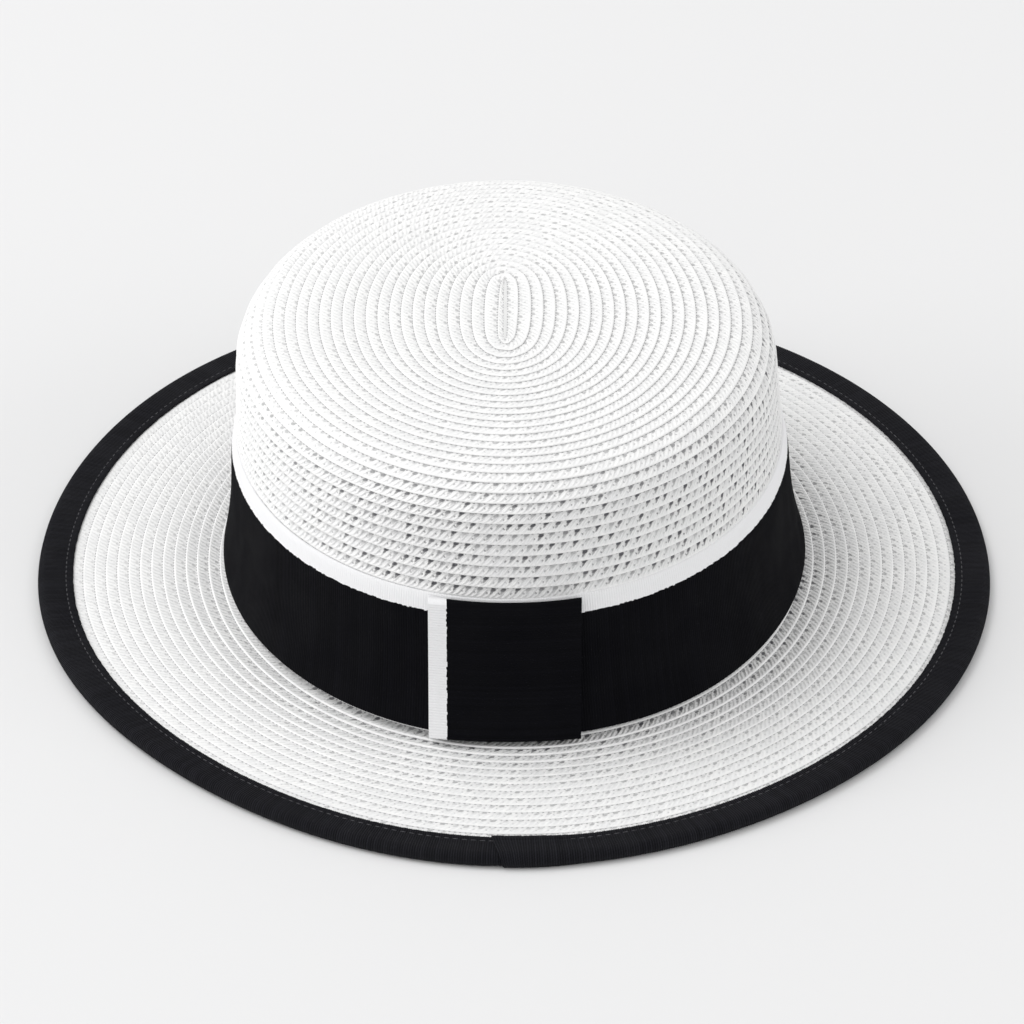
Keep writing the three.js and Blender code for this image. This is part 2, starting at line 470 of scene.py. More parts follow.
# %% Grain group
STRAW_GRAIN = 900.0
CLOTH_GRAIN = 1500.0
THREAD_GRAIN = 2500.0
CLOUD_SHARE = 0.05
GRAIN, grain_in, grain_out = new_group(
    "fibre_grain",
    [("Scale", "NodeSocketFloat", 400.0)],
    [("Fine", "NodeSocketFloat"), ("Cloud", "NodeSocketFloat")],
)
grain_place = GRAIN.nodes.new("ShaderNodeTexCoord").outputs["Object"]
for label, part in (("Fine", 1.0), ("Cloud", CLOUD_SHARE)):
    noise = GRAIN.nodes.new("ShaderNodeTexNoise")
    noise.inputs["Detail"].default_value = 3
    feed(GRAIN, noise.inputs["Vector"], grain_place)
    feed(GRAIN, noise.inputs["Scale"], times(GRAIN, grain_in["Scale"], part))
    feed(GRAIN, grain_out[label], noise.outputs["Fac"])
print("grain group has", len(GRAIN.nodes), "nodes")

# %% [markdown]
# ## The braid's weave
# The braid is plaited from flat paper strands that cross on the slant. Where two strands part, just
# under the row above, a comma-shaped gap shows once in each repeat, with a smaller one half way
# between; the gaps are painted dark grey as the shade inside them. The strands turn back at the
# braid's edge, which makes the smooth bright ridge of each row, and their crests are painted a
# little lighter as a highlight. The pattern coordinates run along the braid in repeats, and across
# it from 0, where it comes out from under the row above, to 1 at its ridge. Each repeat gets its own
# small chance shift and strength, because no two gaps in plaited straw are alike. A fine row of
# pinholes, where the sewing pulls, painted as small dark shadows, and a soft painted shade under the
# row above finish the pattern. A value called Open makes the weave tighter or more open from place
# to place, and sets how strong the painted shade is; it is lowered on the lit left side of the hat.

# %% Sizes in the weave, in repeats along and rows across
HEAD_SIZE = (0.21, 0.16)
TAIL_SIZE = (0.11, 0.24)
TAIL_BELOW = 0.17
TAIL_STRENGTH = (0.1, 0.75)
TAIL_NEEDS_OPEN = (0.4, 0.9)
COMMA_LEAN = 0.6
COMMA_DOWN = (0.12, 0.25)
COMMA_SHIFT = (-0.13, 0.13)
COMMA_STRENGTH = (0.3, 1.05)
DOT_SIZE = (0.09, 0.08)
DOT_DOWN = (0.48, 0.56)
DOT_STRENGTH = (0.25, 0.9)
DOT_SHARE = 0.8
# Pinholes along the hem, painted as small dark shadows.
PIN_SIZE = (0.09, 0.06)
PIN_PITCH = 0.22
PIN_DOWN = 0.05
PIN_STRENGTH = 0.45
STRAND_SLANT = 1.5
STRANDS = 2.0
# Painted shade under the lap, and a fainter painted shade over the field below it.
LAP_SHADE = (0.24, 0.0)
LAP_REACH = 0.10
LAP_LEAST = 0.25
FIELD_SHADE = (0.17, 0.0)
FIELD_ENDS = (0.1, 0.55)
print("comma", HEAD_SIZE, "and dot", DOT_SIZE)

# %% Weave group
WEAVE, weave_in, weave_out = new_group(
    "braid_weave",
    [("Strip", "NodeSocketVector", None), ("Open", "NodeSocketFloat", 1.0)],
    [
        ("Gap_shade", "NodeSocketFloat"), ("Relief", "NodeSocketFloat"),
        ("Tone_and_highlight", "NodeSocketFloat"), ("Shade", "NodeSocketFloat"),
    ],
)


def draw_weave(tree, group_in, group_out):
    """Commas, dots and pinholes painted dark as shade, slanting strands painted lighter on their
    crests, and the painted shade under the lap.
    """
    along, across, _ = split(tree, group_in["Strip"])
    open_and_shade = group_in["Open"]
    repeat = sum_node(tree, "FLOOR", along)
    inside = minus(tree, minus(tree, along, repeat), 0.5)
    luck = chance(tree, repeat)

    down = minus(tree, across, by_chance(tree, luck[1], COMMA_DOWN))
    leaning = sum_node(tree, "MULTIPLY_ADD", down, COMMA_LEAN, inside)
    leaning = sum_node(tree, "ADD", leaning, by_chance(tree, luck[0], COMMA_SHIFT))
    head = spot(tree, leaning, down, HEAD_SIZE)
    tail = spot(tree, leaning, minus(tree, down, TAIL_BELOW), TAIL_SIZE)
    trail = fade(tree, open_and_shade, *TAIL_NEEDS_OPEN, *TAIL_STRENGTH)
    comma = sum_node(tree, "MAXIMUM", head, times(tree, tail, trail))
    comma = times(tree, comma, by_chance(tree, luck[2], COMMA_STRENGTH))

    half = sum_node(tree, "FRACT", along)
    half = minus(tree, half, sum_node(tree, "ROUND", half))
    low = minus(tree, across, by_chance(tree, luck[0], DOT_DOWN))
    dot = spot(tree, half, low, DOT_SIZE)
    dot = times(tree, dot, by_chance(tree, luck[1], DOT_STRENGTH))

    pinch = sum_node(tree, "PINGPONG", along, PIN_PITCH)
    hem = minus(tree, across, PIN_DOWN)
    pin = times(tree, spot(tree, pinch, hem, PIN_SIZE), PIN_STRENGTH)

    around = times(tree, along, STRANDS)
    slant = sum_node(tree, "MULTIPLY_ADD", across, STRAND_SLANT, around)
    strand = sum_node(tree, "SINE", times(tree, slant, math.tau))
    rising = fade(tree, across, 0.1, 0.3)
    window = times(tree, rising, fade(tree, across, 0.7, 0.88, 1, 0))
    strand = times(tree, times(tree, strand, window), 0.5)

    # The gaps and pinholes, painted dark as the shade inside them.
    holes = sum_node(tree, "MAXIMUM", comma, times(tree, dot, DOT_SHARE))
    holes = times(tree, holes, open_and_shade)
    holes = sum_node(tree, "MAXIMUM", holes, pin)
    relief = minus(tree, times(tree, strand, open_and_shade), holes)
    # A chance lightness for each repeat, plus a painted highlight on the strands' crests.
    tone_and_highlight = sum_node(tree, "MULTIPLY_ADD", strand, 0.5, by_chance(tree, luck[2], (0.3, 0.7)))
    feed(tree, group_out["Gap_shade"], sum_node(tree, "MINIMUM", holes, 1.0))
    feed(tree, group_out["Relief"], relief)
    feed(tree, group_out["Tone_and_highlight"], tone_and_highlight)

    # Painted shade under the lap of the row above, deeper where the weave is open, and a fainter
    # painted shade over the field below it.
    depth = sum_node(tree, "MULTIPLY_ADD", open_and_shade, 1 - LAP_LEAST, LAP_LEAST)
    lap = times(tree, fade(tree, across, 0.0, LAP_REACH, *LAP_SHADE), depth)
    field = times(tree, fade(tree, across, *FIELD_ENDS, *FIELD_SHADE), open_and_shade)
    feed(tree, group_out["Shade"], sum_node(tree, "ADD", lap, field))


draw_weave(WEAVE, weave_in, weave_out)
print("weave group has", len(WEAVE.nodes), "nodes")

# %% Straw finish
STRAW_WHITE = (0.92, 0.918, 0.91, 1)
# The darker straw: a chance lightness from repeat to repeat, and painted shade in the strands'
# troughs.
STRAW_TONE_AND_TROUGH_SHADE = (0.83, 0.83, 0.83, 1)
# The dark grey painted into the gaps, the pinholes and under the laps as their shade.
PAINTED_SHADE_GREY = (0.10, 0.10, 0.11, 1)
GAP_SHADE_SHARE = 0.96
STRAW_RELIEF = 0.45 * MM


def straw_finish():
    """White paper straw, with painted shade in its gaps and under its laps, and painted highlights on
    its strands.
    """
    material, tree, shader = new_finish("white_paper_straw", 0.6)
    # How open the weave is, and how much shade is painted into it.
    openness_and_shade = tree.nodes.new("ShaderNodeAttribute")
    openness_and_shade.attribute_name = "open_weave_and_shade"
    weave = use_group(tree, WEAVE, Strip=strip_map(tree), Open=openness_and_shade.outputs["Fac"])
    grain = use_group(tree, GRAIN, Scale=STRAW_GRAIN)
    half_tone_and_highlight = times(tree, weave["Tone_and_highlight"], 0.5)
    tone_and_highlight = sum_node(tree, "MULTIPLY_ADD", grain["Fine"], 0.5, half_tone_and_highlight)
    # Darker straw at random and in the strands' troughs, whiter on their crests as a painted
    # highlight.
    straw = blend_colour(tree, fade(tree, tone_and_highlight, 0.25, 0.8), STRAW_TONE_AND_TROUGH_SHADE, STRAW_WHITE)
    # Painted shade: the gaps and the laps are mixed towards the dark grey.
    share = sum_node(tree, "MULTIPLY_ADD", weave["Gap_shade"], GAP_SHADE_SHARE, weave["Shade"], clamp=True)
    feed(tree, shader.inputs["Base Color"], blend_colour(tree, share, straw, PAINTED_SHADE_GREY))
    feed(tree, shader.inputs["Roughness"], fade(tree, grain["Cloud"], 0.3, 0.7, 0.5, 0.72))
    height = sum_node(tree, "MULTIPLY_ADD", grain["Fine"], 0.2, weave["Relief"])
    raise_surface(tree, shader, height, STRAW_RELIEF, 0.9)
    return material


STRAW_FINISH = straw_finish()
print("finish:", STRAW_FINISH.name)

# %% [markdown]
# ## The braid, row by row
# The rows could be grooves cut in one smooth shell, but then the laps, which catch the light, would
# have no edge. So the braid is laid as it is sewn: one flat strip, whose outer edge lies on top of
# the next row and whose inner edge is tucked under the row before. At the very middle the real
# braid is folded back on itself along a short straight line, and the rows grow from narrow rounds
# into the crown's oval. The spiral below does the same.

# %% The spiral
ROW = 3.4 * MM
TUCK = 0.8 * MM
CORE_SPREAD = 1.6 * MM
CORE_TURNS = 1.3
CORE_SHARPNESS = 2.2
CORE_FADE = 0.5
FIRST_TURN = -0.85
START_ANGLE = math.pi / 2 - FIRST_TURN * math.tau
BRAID_END = line_end - 0.3 * MM
LAST_ROW_SHORT = 1 * MM
STEPS_A_TURN = 400


def row_start(turns):
    """How far from the middle a row starts, after so many turns of the spiral."""
    later = np.maximum(turns, 0)
    wide = CORE_SPREAD * (1 - np.exp(-later / CORE_TURNS))
    return np.where(turns < 0, turns * (ROW + CORE_SPREAD / CORE_TURNS), ROW * later + wide)


def row_edges(turns):
    """How far from the middle the braid's tucked inner edge and its outer edge lie."""
    inner = np.maximum(row_start(turns) - TUCK, 0)
    outer = np.minimum(row_start(turns + 1), BRAID_END)
    return inner, outer


def spiral_place(reach, turn, lift):
    """Places points of the spiral: a straight core in the middle that widens into the oval."""
    sine = np.sin(turn)
    sharp = np.tanh(CORE_SHARPNESS * sine) / math.tanh(CORE_SHARPNESS)
    share = np.clip(reach / crown_flat, 0, 1) ** CORE_FADE
    ends = sharp + (sine - sharp) * share
    across = reach * np.cos(turn)
    along = reach * sine + (OVAL - 1) * np.maximum(crown_flat, reach) * ends
    return place(np.hypot(across, along / OVAL), np.arctan2(along / OVAL, across), lift)


turn_count = (BRAID_END - CORE_SPREAD) / ROW
last_turn = turn_count + (TUCK - LAST_ROW_SHORT) / ROW
turns_fine = np.linspace(FIRST_TURN, last_turn, int(turn_count * STEPS_A_TURN))
inner_fine, outer_fine = row_edges(turns_fine)
angles_fine = START_ANGLE + turns_fine * math.tau
path = spiral_place((inner_fine + outer_fine) / 2, angles_fine, np.zeros_like(turns_fine))
braid_at = np.concatenate(([0], np.cumsum(np.linalg.norm(np.diff(path, axis=0), axis=1))))
print("braid:", round(float(braid_at[-1]), 2), "m long in", round(turn_count, 1), "turns")

# %% [markdown]
# ## The braid's section
# Across, the strip is thin where it is tucked under, dips where the gaps are, swells to a smooth
# ridge and ends in a steep edge. The points below are millimetres across the row and above the
# block's face. Along the strip, three sections stand close together at each gap, so that the gap
# is a real dent, and only one where another piece hides the braid, so that the mesh stays small.
# The iron presses the crown's top and the brim flatter than the wall, so the laps are less deep
# there, and the weave is tighter. On the hat's left side, where the light falls, less shade is
# painted into the weave.

# %% The section, and how it changes over the hat
REPEAT = 3.45 * MM
SECTION = np.array([
    (-0.80, -0.70), (0.08, -0.62), (0.52, -0.50), (1.15, -0.34), (2.55, -0.14), (2.98, 0.01),
    (3.32, -0.07), (3.42, -0.48), (2.55, -0.68), (1.20, -1.15), (-0.80, -1.15), (-0.80, -0.70),
]) * MM
RIDGE = np.array([0, 0, 0, 0, 0.6, 1, 1, 0.6, 0, 0, 0, 0])
DENT = np.array([0, 0.25, 1, 0.2, 0, 0, 0, 0, 0, 0, 0, 0]) * 0.36 * MM
FLATTENS = np.array([1, 1, 1, 1, 1, 1, 1, 1, 1, 0, 0, 1])
GAP_PHASES = (0.36, 0.5, 0.64)
DENT_AT_PHASE = (0.0, 1.0, 0.0)
OPEN_ON_LINE = ((0, 55, 80, 95, 155, 170, 200), (0.36, 0.45, 0.7, 1, 1, 0.5, 0.4))
DEPTH_ON_LINE = ((0, 8, 70, 92, 155, 175), (0.2, 0.5, 0.65, 1, 1, 0.36))


def openness_at(reach):
    """How open the weave looks: tight and smooth on the crown, open on the wall."""
    return np.interp(reach / MM, *OPEN_ON_LINE)


def depth_at(reach):
    """How deep the laps are: pressed flatter on the crown's top and on the brim."""
    return np.interp(reach / MM, *DEPTH_ON_LINE)


def slow_wave(along, length, seed):
    """A gentle wandering between -1 and 1 along the strip."""
    knots = np.random.default_rng(seed).uniform(-1, 1, int(braid_at[-1] / length) + 4)
    return np.interp(along / length, np.arange(len(knots)), knots)


# %% Where the ribbon and the tape hide the braid
UNDER_RIBBON = 1 * MM
PAST_RIBBON = 0.5 * MM
UNDER_TAPE = 7.4 * MM
outer_half = len(line_at) // 2
ribbon_hides = np.interp(band_high.z - UNDER_RIBBON, line_height[::-1], line_at[::-1])
ribbon_shows = np.interp(band_high.x + PAST_RIBBON, line_radius[outer_half:], line_at[outer_half:])
tape_hides = line_end - UNDER_TAPE
print("hidden, m:", [round(float(at), 4) for at in (ribbon_hides, ribbon_shows, tape_hides)])

# %% How open the weave is at each point
OPEN_UP_WALL = ((8, 60, 76, 84, 88), (1, 1, 0.95, 0.6, 0.4))
OPEN_ON_BRIM = ((88, 94, 104, 130), (0.9, 0.66, 0.46, 0.42))
# On the lit left side the value falls to half, so less shade is painted there.
LIT_LEFT_LESS_SHADE = ((-85, -25), (0.5, 1))
TOP_FROM_HEIGHT = 84 * MM
BRIM_FROM_RADIUS = 88 * MM
TOP_STEPS = 500


def store_open_and_shade(piece):
    """Writes on each point how open the weave is. It is lowered on the hat's left side, where the
    light falls, so that less shade is painted there.
    """
    mesh = piece.data
    at = np.empty(len(mesh.vertices) * 3)
    mesh.vertices.foreach_get("co", at)
    x, y, z = at.reshape(-1, 3).T
    radius = np.hypot(x, y / OVAL)
    top_open = openness_at(np.interp(radius, line_radius[:TOP_STEPS], line_at[:TOP_STEPS]))
    wall_open = np.interp(z / MM, *OPEN_UP_WALL)
    brim_open = np.interp(radius / MM, *OPEN_ON_BRIM)
    crown_open = np.where(z > TOP_FROM_HEIGHT, np.minimum(top_open, wall_open), wall_open)
    value = np.where(radius > BRIM_FROM_RADIUS, brim_open, crown_open)
    value = value * np.interp(x / MM, *LIT_LEFT_LESS_SHADE)
    layer = mesh.attributes.new("open_weave_and_shade", "FLOAT", "POINT")
    layer.data.foreach_set("value", value.astype(np.float32))
    print(piece.name, "is open from", round(value.min(), 2), "to", round(value.max(), 2))


# %% Lay a length of the braid
SIDE_WAVE = 11 * MM
SIDE_WANDER = 0.07
RISE_WAVE = 8 * MM
RISE_WANDER = 0.05


def columns_between(first, last):
    """Where along the braid the sections stand, from one repeat to another, and their dents."""
    stands, dents = [first], [0.0]
    for repeat in range(first, last):
        reach = np.interp((repeat + 0.5) * REPEAT, braid_at, inner_fine)
        hidden = ribbon_hides < reach < ribbon_shows or reach > tape_hides
        stands += [repeat + 0.5] if hidden else [repeat + phase for phase in GAP_PHASES]
        dents += [0.0] if hidden else list(DENT_AT_PHASE)
    return np.array(stands + [last], dtype=float), np.array(dents + [0.0])


def lay_braid(name, first_reach, last_reach):
    """A closed length of braid between two distances from the middle of the crown."""
    begins = np.searchsorted(inner_fine, (first_reach, last_reach))
    whole = [int(at / REPEAT) for at in braid_at[np.minimum(begins, len(braid_at) - 1)]]
    repeats, dents = columns_between(*whole)
    along = np.minimum(repeats * REPEAT, braid_at[-1])
    turns = np.interp(along, braid_at, turns_fine)
    inner, outer = row_edges(turns)
    open_here = openness_at(inner)
    sideways = slow_wave(along, SIDE_WAVE, seed=3) * SIDE_WANDER * MM
    upwards = slow_wave(along, RISE_WAVE, seed=4) * RISE_WANDER * MM
    share = (SECTION[:, 0] + TUCK) / (ROW + TUCK)
    reach = inner[:, None] + (outer - inner)[:, None] * share + sideways[:, None] * RIDGE
    pressed = 1 - (1 - depth_at(inner))[:, None] * FLATTENS
    lift = SECTION[:, 1] * pressed + upwards[:, None] * RIDGE - (dents * open_here)[:, None] * DENT
    angle = np.repeat((START_ANGLE + turns * math.tau)[:, None], len(SECTION), axis=1)
    points = spiral_place(reach, angle, lift)
    across = np.broadcast_to(SECTION[:, 0] / ROW, reach.shape)
    pattern = np.stack((np.broadcast_to(repeats[:, None], reach.shape), across), -1)
    piece = strip_piece(name, points, pattern)
    store_open_and_shade(piece)
    return piece


# %% Lay the whole braid in three lengths
TOP_ENDS = 96 * MM
WALL_ENDS = 163 * MM
straw_pieces = [
    lay_braid("straw_crown_top", 0.0, TOP_ENDS),
    lay_braid("straw_crown_wall", TOP_ENDS, WALL_ENDS),
    lay_braid("straw_brim", WALL_ENDS, line_end),
]
for piece in straw_pieces:
    dress(piece, "straw_body", STRAW_FINISH)

# %% [markdown]
# ## Ribbed tape and ribbon
# Both trims are grosgrain, a cloth with fat cross threads that stand up as ribs from edge to edge.
# The ribs are modelled, because they catch the light where the cloth turns, and the finish adds the
# finer threads that bind them. The ribbon's white stripe is woven in, so its border steps a
# little from rib to rib. On both trims the pattern coordinates count ribs one way, and measure
# millimetres from the striped edge the other way.

# %% Rib group
FINE_THREADS = 16.0
RIBS, ribs_in, ribs_out = new_group(
    "woven_ribs",
    [("Strip", "NodeSocketVector", None)],
    [("Height", "NodeSocketFloat"), ("Thread", "NodeSocketFloat"), ("Step", "NodeSocketFloat")],
)


def draw_ribs(tree, group_in, group_out):
    """Ribs along the strip, and fine threads that shift every half rib."""
    along, across, _ = split(tree, group_in["Strip"])
    rib = sum_node(tree, "COSINE", times(tree, along, math.tau))
    half_rib = sum_node(tree, "FLOOR", times(tree, along, 2.0))
    shifted = sum_node(tree, "ADD", across, times(tree, half_rib, 0.5))
    thread = sum_node(tree, "SINE", times(tree, shifted, FINE_THREADS))
    luck = chance(tree, sum_node(tree, "ROUND", along))
    height = sum_node(tree, "MULTIPLY_ADD", thread, 0.25, times(tree, rib, 0.5))
    feed(tree, group_out["Height"], height)
    feed(tree, group_out["Thread"], sum_node(tree, "MULTIPLY_ADD", thread, 0.3, luck[0]))
    feed(tree, group_out["Step"], luck[1])


draw_ribs(RIBS, ribs_in, ribs_out)
print("rib group has", len(RIBS.nodes), "nodes")

# %% Tape finish and ribbon finish
TAPE_BLACK = (0.002, 0.002, 0.0035, 1)
TAPE_THREAD_AND_HIGHLIGHT_GREY = (0.016, 0.016, 0.021, 1)
RIBBON_BLACK = (0.002, 0.002, 0.003, 1)
RIBBON_GREY = (0.004, 0.004, 0.006, 1)
STRIPE_WHITE = (0.84, 0.84, 0.85, 1)
STRIPE_WIDTH = 5.2
STRIPE_STEP = 0.35
TAPE_RELIEF = 0.16 * MM
RIBBON_RELIEF = 0.1 * MM


def tape_finish():
    """Black tape whose ribs are painted a little greyer on their crests as a highlight, with the
    grain of its threads.
    """
    material, tree, shader = new_finish("black_binding_tape", 0.7, sheen=0.02, gloss=0.12)
    ribs = use_group(tree, RIBS, Strip=strip_map(tree))
    grain = use_group(tree, GRAIN, Scale=CLOTH_GRAIN)
    rubbed = times(tree, ribs["Thread"], grain["Fine"])
    # Painted highlight: lighter grey on the rib crests, mixed with the fine threads' grain.
    lighter_share = fade(tree, sum_node(tree, "ADD", ribs["Height"], rubbed), -0.2, 1.2)
    feed(tree, shader.inputs["Base Color"], blend_colour(tree, lighter_share, TAPE_BLACK, TAPE_THREAD_AND_HIGHLIGHT_GREY))
    feed(tree, shader.inputs["Roughness"], fade(tree, grain["Cloud"], 0.3, 0.7, 0.7, 0.85))
    raise_surface(tree, shader, ribs["Height"], TAPE_RELIEF, 0.9)
    return material


def ribbon_finish():
    """Black ribbon with a white stripe whose border steps a little from rib to rib."""
    material, tree, shader = new_finish("striped_grosgrain", 0.8, sheen=0.008, gloss=0.06)
    ribs = use_group(tree, RIBS, Strip=strip_map(tree))
    grain = use_group(tree, GRAIN, Scale=CLOTH_GRAIN)
    across = split(tree, strip_map(tree))[1]
    border = sum_node(tree, "MULTIPLY_ADD", ribs["Step"], STRIPE_STEP, STRIPE_WIDTH - 0.17)
    stripe = sum_node(tree, "LESS_THAN", across, border)
    lighter_share = times(tree, ribs["Thread"], grain["Fine"])
    black = blend_colour(tree, lighter_share, RIBBON_BLACK, RIBBON_GREY)
    feed(tree, shader.inputs["Base Color"], blend_colour(tree, stripe, black, STRIPE_WHITE))
    feed(tree, shader.inputs["Roughness"], fade(tree, grain["Cloud"], 0.3, 0.7, 0.75, 0.9))
    raise_surface(tree, shader, ribs["Height"], RIBBON_RELIEF, 0.7)
    return material


TAPE_FINISH = tape_finish()
RIBBON_FINISH = ribbon_finish()
print("finishes:", TAPE_FINISH.name, "and", RIBBON_FINISH.name)

# %% [markdown]
# ## The binding
# The brim's raw edge is wrapped in a tape, folded over it and stitched through. The tape's two
# ends overlap at the front: the upper one is cut on a slant. A ring would have no ends, so the
# tape is swept as an open strip that goes once round and a little further. It rises where it lies
# on its own beginning, and that beginning is pressed down a little.

# %% The tape's section
TAPE_CLOTH = 0.6 * MM
FOLD_RADIUS = STRAW / 2 + GAP + TAPE
TAPE_SHOWS = 10.4 * MM
TAPE_INNER = binding_high.x - TAPE_SHOWS
FOLD_HEIGHT = BRIM_EDGE_TOP - STRAW / 2
INSIDE_POINTS = [0, 2, 5, 7, 9, 10, 11, 13, 15, 18, 19]


def tape_section():
    """Points (radius, height) of the tape, with its outward direction and millimetres across."""
    radii = np.array([0, 0.5, 1.6, 2.1, 2.6, 4.0, 5.4]) * MM + TAPE_INNER
    dips = np.array([0.25, 0.05, 0.0, 0.16, 0.0, 0.0, 0.0]) * MM
    hug = np.array([0.5, 0.5, 0.5, 0.5, 0.5, 0.42, 0.2]) * MM
    top = np.column_stack((radii, brim_top_at(radii) + GAP + TAPE - dips - hug))
    fold = arc((BRIM_EDGE, FOLD_HEIGHT), FOLD_RADIUS, math.pi / 2, -math.pi / 2, 6)
    under = np.column_stack((radii[::-1], brim_top_at(radii[::-1]) - STRAW - GAP - TAPE + dips[::-1]))
    outside = np.vstack((top, fold, under))
    ahead = np.gradient(outside, axis=0)
    ahead /= np.linalg.norm(ahead, axis=1, keepdims=True)
    normal = np.column_stack((-ahead[:, 1], ahead[:, 0]))
    inner_normal = normal[INSIDE_POINTS]
    inside = outside[INSIDE_POINTS] - inner_normal * TAPE_CLOTH
    line = np.vstack((outside, inside[::-1], outside[:1]))
    facing = np.vstack((normal, inner_normal[::-1], normal[:1]))
    gone = np.concatenate(([0], np.cumsum(np.hypot(*np.diff(outside, axis=0).T)))) / MM
    across = np.concatenate((gone, gone[INSIDE_POINTS][::-1], [0]))
    ribbed = np.concatenate((np.ones(len(outside)), np.zeros(len(inside)), [1]))
    return line, facing, across, ribbed


tape_line, tape_facing, tape_across, tape_ribbed = tape_section()
print("tape is", round(tape_across.max(), 1), "mm wide before it is folded")

# %% Sweep the tape round the brim
TAPE_RIB = 0.7 * MM
SEAM_FROM = 4.5 * MM
SEAM_TO = -4.6 * MM
SEAM_SLANT = 4.2 * MM
SEAM_SPREAD = 1.6
SEAM_LEAST = -0.02
SEAM_CUT = 9 * MM
SEAM_RISE = 0.45 * MM
RISE_FROM = 26 * MM
RISE_OVER = 17 * MM
SEAM_SINK = 0.18 * MM
SINK_UNTIL = 13 * MM
SINK_OVER = 4 * MM
TAPE_CREST = 0.07
TAPE_WANDER = 0.10
FLOOR_GAP = 0.02 * MM
OVAL_STEPS = 40000


def oval_walk(radius, start, end):
    """Many angles along an oval, and the distance walked to each of them."""
    fine = np.linspace(start, end, OVAL_STEPS)
    at = np.column_stack((radius * np.cos(fine), half_length_at(radius) * np.sin(fine)))
    gone = np.concatenate(([0], np.cumsum(np.hypot(*np.diff(at, axis=0).T))))
    return fine, gone


def ease(share):
    """Runs smoothly from 0 to 1 while share does."""
    share = np.clip(share, 0, 1)
    return share ** 2 * (3 - 2 * share)


def up_and_down(count):
    """A crest and a hollow by turns, one column of points each."""
    return np.where(np.arange(count) % 2 == 0, 1.0, -1.0)[:, None]


def sweep_tape():
    """The folded tape, and the length of the strip that it is made from."""
    start = -math.pi / 2 + SEAM_FROM / BRIM_EDGE
    end = -math.pi / 2 - math.tau + SEAM_TO / BRIM_EDGE
    fine, gone = oval_walk(BRIM_EDGE, start, end)
    count = int(gone[-1] / (TAPE_RIB / 2))
    walk = np.linspace(0, gone[-1], count + 1)
    angle = np.interp(walk, gone, fine)
    left = gone[-1] - walk
    sunk = ease((SINK_UNTIL - walk) / SINK_OVER) * SEAM_SINK
    rise = ease((RISE_FROM - left) / RISE_OVER) * SEAM_RISE - sunk
    last = np.clip(1 - left / SEAM_CUT, 0, 1)
    slant = (0.5 - tape_across / tape_across.max() * SEAM_SPREAD) * SEAM_SLANT / BRIM_EDGE
    turn = angle[:, None] - last[:, None] * np.maximum(slant, SEAM_LEAST)
    rng = np.random.default_rng(11)
    crest = up_and_down(count + 1) * tape_ribbed * TAPE_CREST * MM
    wander = np.repeat(rng.uniform(-1, 1, count // 2 + 1), 2)[: count + 1] * TAPE_WANDER * MM
    ragged = np.zeros(len(tape_line))
    ragged[[0, -1, -2]] = 1
    lift = crest + rise[:, None]
    radius = tape_line[:, 0] + tape_facing[:, 0] * lift + wander[:, None] * ragged
    height = np.maximum(tape_line[:, 1] + tape_facing[:, 1] * lift, FLOOR_GAP)
    points = oval_point(radius, turn, height)
    ribs = np.broadcast_to((np.arange(count + 1) / 2)[:, None], radius.shape)
    pattern = np.stack((ribs, np.broadcast_to(tape_across, radius.shape)), -1)
    return strip_piece("brim_tape", points, pattern), gone[-1]


tape, tape_length = sweep_tape()
dress(tape, "brim_binding", TAPE_FINISH)
print("tape is", round(tape_length, 3), "m long")

# %% [markdown]
# ## Stitches in the binding
# A lockstitch shows as a row of short dashes that sink a little into the tape, on top and below.
# One stitch is modelled as a small rounded bead of thread and copied along the tape's stitch line.
# The copies are joined into one piece, each with its own mesh.

# %% One stitch, copied along both faces
STITCH_PITCH = 2.5 * MM
STITCH_LENGTH = 1.6 * MM
STITCH_THREAD = 0.13 * MM
STITCH_RADIUS = TAPE_INNER + 2.1 * MM
STITCH_WIDER = 1.3
STITCH_FLATTER = 0.8
STITCH_TILT = 0.07
TOP_SINK = 0.62 * MM
UNDER_SINK = 0.10 * MM


def first_stitch():
    """One stitch: a small ball of thread, drawn out and a little flattened."""
    bpy.ops.object.select_all(action="DESELECT")
    bpy.ops.mesh.primitive_uv_sphere_add(segments=8, ring_count=5, radius=STITCH_THREAD)
    bead = bpy.context.object
    bpy.ops.object.mode_set(mode="EDIT")
    bpy.ops.mesh.select_all(action="SELECT")
    bpy.ops.transform.rotate(value=math.pi / 2, orient_axis="Y", center_override=(0, 0, 0))
    longer = STITCH_LENGTH / (2 * STITCH_THREAD)
    bpy.ops.transform.resize(value=(longer, STITCH_WIDER, STITCH_FLATTER))
    bpy.ops.mesh.normals_make_consistent(inside=False)
    bpy.ops.object.mode_set(mode="OBJECT")
    return bead


def stitch_row(bead, lift, count):
    """Copies of the stitch along the tape, each turned to run with the tape."""
    fine, gone = oval_walk(STITCH_RADIUS, -math.pi / 2, 1.5 * math.pi)
    level = float(brim_top_at(STITCH_RADIUS)) + lift
    half = float(half_length_at(STITCH_RADIUS))
    rng = np.random.default_rng(21)
    copies = []
    for angle in np.interp((np.arange(count) + 0.5) * gone[-1] / count, gone, fine):
        heading = math.atan2(half * math.cos(angle), -STITCH_RADIUS * math.sin(angle))
        copy = bpy.data.objects.new("stitch", bead.data.copy())
        bpy.context.scene.collection.objects.link(copy)
        copy.location = oval_point(STITCH_RADIUS, angle, level)
        copy.rotation_euler = (0, 0, heading + rng.uniform(-STITCH_TILT, STITCH_TILT))
        copies.append(copy)
    return copies


